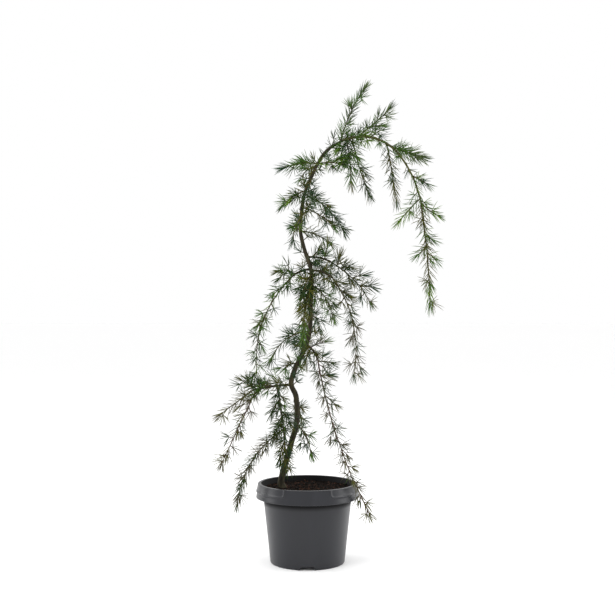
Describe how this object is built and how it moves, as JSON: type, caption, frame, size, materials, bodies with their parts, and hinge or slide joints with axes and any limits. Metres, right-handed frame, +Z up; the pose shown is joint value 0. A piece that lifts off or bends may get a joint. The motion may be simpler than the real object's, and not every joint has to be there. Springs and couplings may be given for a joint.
{
  "type": "potted weeping deodar cedar",
  "caption": "Young weeping cedar in a round nursery pot: one leaning, bending stem that arches over at the top, with side shoots of needles that droop to the pot's rim.",
  "frame": {"origin": "centre of the pot's flat underside", "axes": "+Z up, -Y towards the front of the plant as it is usually seen, +X to its right, the way the leading shoot arches over"},
  "size_m": [0.4325, 0.2028, 0.8962],
  "materials": {
    "pot_plastic": "satin anthracite",
    "soil": "loose, rough and matt",
    "bark": "rough young bark",
    "needles": "waxy, slightly blue-green"
  },
  "bodies": {
    "root": {"bough_back": "bark", "bough_left": "bark", "bough_low_left": "bark", "bough_low_left_inner": "bark", "bough_low_right": "bark", "bough_right": "bark", "bough_right_high": "bark", "leader_arch": "bark", "leader_fall": "bark", "needles_arch_end": "needles", "needles_arch_hanging": "needles", "needles_back_hanging": "needles", "needles_back_right": "needles", "needles_fall_front": "needles", "needles_fall_left": "needles", "needles_fall_right": "needles", "needles_front_hanging": "needles", "needles_front_left_hanging": "needles", "needles_front_left_short": "needles", "needles_front_right_hanging": "needles", "needles_high_back": "needles", "needles_high_left": "needles", "needles_high_right": "needles", "needles_leader_tip": "needles", "needles_left_hanging": "needles", "needles_left_up": "needles", "needles_low_back": "needles", "needles_low_front": "needles", "needles_low_inner_side": "needles", "needles_low_inner_tip": "needles", "needles_low_left_back": "needles", "needles_low_left_hanging": "needles", "needles_low_left_tip": "needles", "needles_low_left_up": "needles", "needles_low_left_up_outer": "needles", "needles_low_right_hanging": "needles", "needles_low_right_up": "needles", "needles_lower_back": "needles", "needles_lower_left": "needles", "needles_lower_left_short": "needles", "needles_lower_right_back": "needles", "needles_middle_back": "needles", "needles_middle_left_front": "needles", "needles_middle_right_back": "needles", "needles_right_hanging": "needles", "needles_right_high_tip": "needles", "needles_right_high_up": "needles", "needles_top": "needles", "needles_top_back": "needles", "needles_top_right": "needles", "needles_under_arch": "needles", "needles_under_arch_right": "needles", "needles_upper_front": "needles", "needles_upper_left": "needles", "needles_upper_right": "needles", "needles_upper_right_front": "needles", "pot": "pot_plastic", "soil": "soil", "trunk": "bark"}
  },
  "joints": []
}
